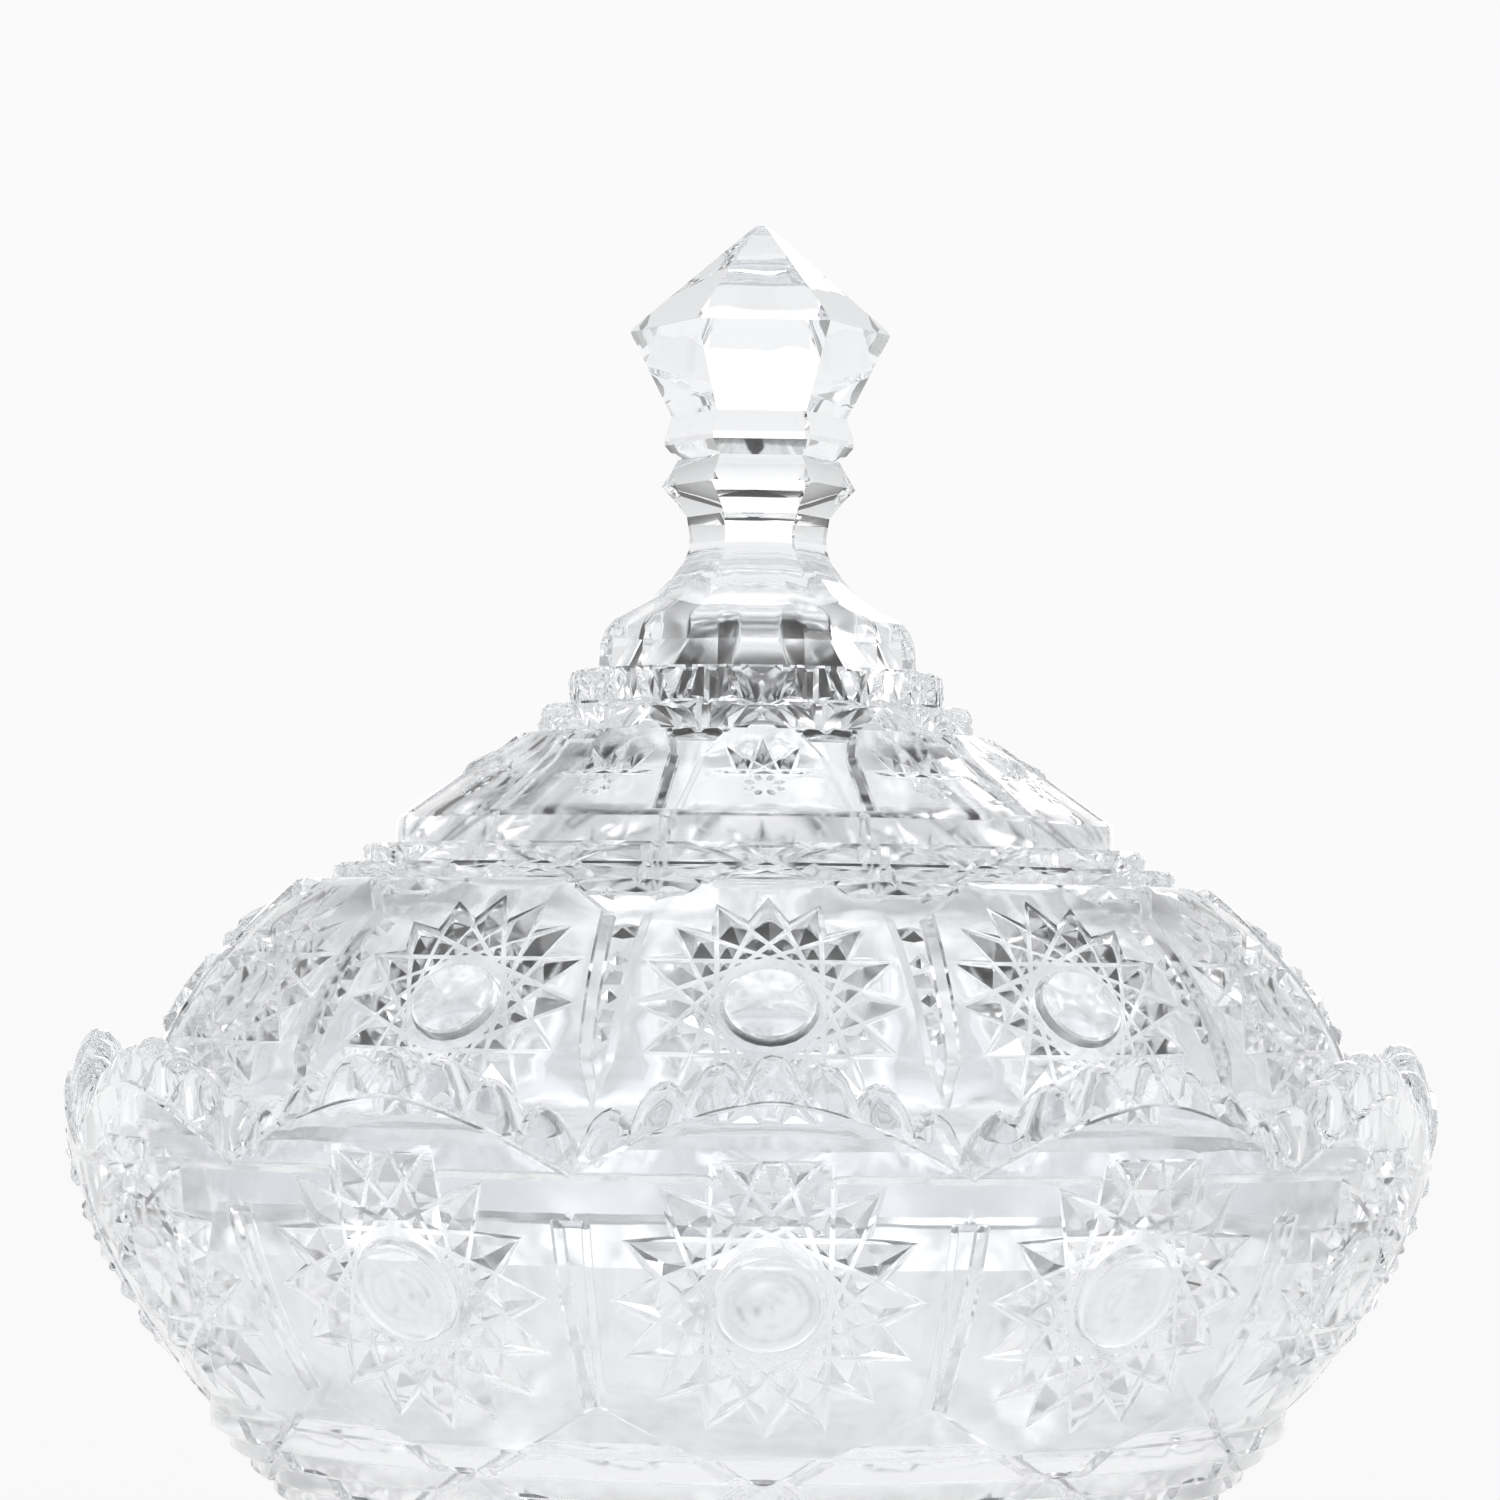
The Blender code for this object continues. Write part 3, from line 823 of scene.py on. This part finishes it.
def make_glass(name, seed, polish_range):
    """Clear pressed glass: faint ripples from the mould, and a polish and a tint that vary a little."""
    material = bpy.data.materials.new(name)
    material.use_nodes = True
    nodes, links = material.node_tree.nodes, material.node_tree.links
    shader = nodes["Principled BSDF"]
    shader.inputs["Transmission Weight"].default_value = 1.0
    shader.inputs["IOR"].default_value = GLASS_IOR
    where = nodes.new("ShaderNodeTexCoord")
    shift = nodes.new("ShaderNodeMapping")
    shift.inputs["Location"].default_value = (seed, seed, seed)
    links.new(where.outputs["Object"], shift.inputs["Vector"])

    polish = nodes.new("ShaderNodeTexNoise")
    polish.inputs["Scale"].default_value = 60.0
    polish.inputs["Detail"].default_value = 3.0
    links.new(shift.outputs["Vector"], polish.inputs["Vector"])
    rough = nodes.new("ShaderNodeMapRange")
    rough.inputs["To Min"].default_value, rough.inputs["To Max"].default_value = polish_range
    links.new(polish.outputs["Fac"], rough.inputs["Value"])
    links.new(rough.outputs["Result"], shader.inputs["Roughness"])

    tint = nodes.new("ShaderNodeValToRGB")
    tint.color_ramp.elements[0].color = DEEP_TINT
    tint.color_ramp.elements[1].color = PALE_TINT
    links.new(polish.outputs["Fac"], tint.inputs["Fac"])
    links.new(tint.outputs["Color"], shader.inputs["Base Color"])

    ripple = nodes.new("ShaderNodeTexNoise")
    ripple.inputs["Scale"].default_value = 160.0
    ripple.inputs["Detail"].default_value = 1.0
    links.new(shift.outputs["Vector"], ripple.inputs["Vector"])
    bump = nodes.new("ShaderNodeBump")
    bump.inputs["Strength"].default_value = 0.12
    bump.inputs["Distance"].default_value = 0.0004
    links.new(ripple.outputs["Fac"], bump.inputs["Height"])
    links.new(bump.outputs["Normal"], shader.inputs["Normal"])
    return material


FLOOR_GLOW = 0.876  # brings the floor level with the backdrop, so that no horizon shows


def grey(level):
    return (level, level, level, 1.0)


def make_floor():
    """A wide pale disc under the jar."""
    mesh = bpy.data.meshes.new("floor")
    bm = bmesh.new()
    bmesh.ops.create_circle(bm, cap_ends=True, radius=3.0, segments=96)
    bm.to_mesh(mesh)
    bm.free()
    floor = bpy.data.objects.new("floor", mesh)
    bpy.context.scene.collection.objects.link(floor)
    material = bpy.data.materials.new("pale_floor")
    material.use_nodes = True
    nodes, links = material.node_tree.nodes, material.node_tree.links
    shader = nodes["Principled BSDF"]
    shader.inputs["Roughness"].default_value = 0.6
    shader.inputs["Specular IOR Level"].default_value = 0.0
    shader.inputs["Emission Color"].default_value = grey(1.0)
    shader.inputs["Emission Strength"].default_value = FLOOR_GLOW
    noise = nodes.new("ShaderNodeTexNoise")
    noise.inputs["Scale"].default_value = 3.0
    ramp = nodes.new("ShaderNodeValToRGB")
    ramp.color_ramp.elements[0].color = grey(0.20)
    ramp.color_ramp.elements[1].color = grey(0.22)
    links.new(noise.outputs["Fac"], ramp.inputs["Fac"])
    links.new(ramp.outputs["Color"], shader.inputs["Base Color"])
    floor.data.materials.append(material)
    floor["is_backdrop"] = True


# The studio's brightness by direction: (sine of the elevation, grey) and (how far behind the jar, share).
UPWARD = ((-1.0, 0.7), (-0.3, 0.85), (0.0, 1.0), (0.22, 1.0), (0.48, 0.4), (0.68, 0.1), (1.0, 0.06))
BEHIND = ((-1.0, 0.35), (0.0, 0.5), (0.6, 0.6), (0.85, 0.75), (0.96, 1.0), (1.0, 1.0))
BRIGHTEST = 1.25
BACKDROP = 0.956
FACTOR, FIRST, SECOND, MIXED = 0, 6, 7, 2  # sockets of a Mix node that mixes colours


def grey_scale(nodes, links, source, stops):
    """A smooth scale of greys over -1 to 1."""
    place = nodes.new("ShaderNodeMapRange")
    place.inputs["From Min"].default_value = -1.0
    place.inputs["From Max"].default_value = 1.0
    links.new(source, place.inputs["Value"])
    ramp = nodes.new("ShaderNodeValToRGB")
    ramp.color_ramp.interpolation = "B_SPLINE"
    elements = ramp.color_ramp.elements
    while len(elements) < len(stops):
        elements.new(0.5)
    for element, (value, level) in zip(elements, stops):
        element.position = (value + 1) / 2
        element.color = grey(level)
    links.new(place.outputs["Result"], ramp.inputs["Fac"])
    return ramp.outputs["Color"]


def make_world():
    """A bright studio that the camera sees as a plain backdrop. Its top and its front are darker, and the
    facets pick that up."""
    world = bpy.data.worlds.new("studio")
    bpy.context.scene.world = world
    world.use_nodes = True
    nodes, links = world.node_tree.nodes, world.node_tree.links
    back = nodes["Background"]
    where = nodes.new("ShaderNodeTexCoord")
    parts = nodes.new("ShaderNodeSeparateXYZ")
    links.new(where.outputs["Generated"], parts.inputs["Vector"])
    upward = grey_scale(nodes, links, parts.outputs["Z"], UPWARD)
    behind = grey_scale(nodes, links, parts.outputs["Y"], BEHIND)
    both = nodes.new("ShaderNodeVectorMath")
    both.operation = "MULTIPLY"
    links.new(upward, both.inputs[0])
    links.new(behind, both.inputs[1])
    path = nodes.new("ShaderNodeLightPath")
    mix = nodes.new("ShaderNodeMix")
    mix.data_type = "RGBA"
    mix.inputs[SECOND].default_value = grey(BACKDROP / BRIGHTEST)
    links.new(path.outputs["Is Camera Ray"], mix.inputs[FACTOR])
    links.new(both.outputs["Vector"], mix.inputs[FIRST])
    links.new(mix.outputs[MIXED], back.inputs["Color"])
    back.inputs["Strength"].default_value = BRIGHTEST


SOFTBOX_ANGLE = 26  # degrees across
SOFTBOXES = (
    ("left_box", (-0.75, -0.15, 0.35), 0.35),
    ("right_box", (0.70, -0.30, 0.40), 0.4),
    ("back_box", (0.15, 0.8, 0.5), 0.35),
)


def add_light(name, place, strength):
    """A softbox so far off that it lights the floor evenly."""
    light = bpy.data.lights.new(name, "SUN")
    light.angle = math.radians(SOFTBOX_ANGLE)
    light.energy = strength
    obj = bpy.data.objects.new(name, light)
    obj.location = place
    obj.rotation_euler = Vector(place).to_track_quat("Z", "Y").to_euler()
    bpy.context.scene.collection.objects.link(obj)


def make_camera():
    """Level with the middle of the jar, looking a little up, and leaning by under a degree. In metres."""
    distance, height = 0.5017, 0.0793
    azimuth, roll = math.radians(-1.6), math.radians(0.7)
    camera = bpy.data.cameras.new("camera")
    camera.sensor_width = 36.0
    camera.lens = 109.0
    camera.clip_start = 0.01
    obj = bpy.data.objects.new("camera", camera)
    obj.location = (distance * math.sin(azimuth), -distance * math.cos(azimuth), height)
    aim = Vector((-0.0006, 0.0, 0.0995))
    look = (aim - obj.location).to_track_quat("-Z", "Y").to_matrix().to_4x4()
    look = look @ Matrix.Rotation(roll, 4, "Z")
    obj.rotation_euler = look.to_euler()
    bpy.context.scene.collection.objects.link(obj)
    bpy.context.scene.camera = obj


make_camera()
for maker, node, seed in ((make_bowl, "bowl", 3.0), (make_lid, "lid", 11.0)):
    piece = maker()
    piece.data.materials.append(make_glass(f"{node}_clear_glass", seed, CLEAR_POLISH))
    piece.data.materials.append(make_glass(f"{node}_inside_glass", seed, INSIDE_POLISH))
    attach(piece, node)
    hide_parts(node)
make_floor()
make_world()
for name, place, strength in SOFTBOXES:
    add_light(name, place, strength)

scene = bpy.context.scene
scene.view_settings.view_transform = "Standard"
# Light passes through many faces of the glass, and is reflected inside it, before it comes out.
bounces = 40
scene.cycles.max_bounces = bounces
scene.cycles.transmission_bounces = bounces
scene.cycles.glossy_bounces = bounces

boxes = [[list(map(float, corner)) for corner in box] for box in (cad_box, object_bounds())]
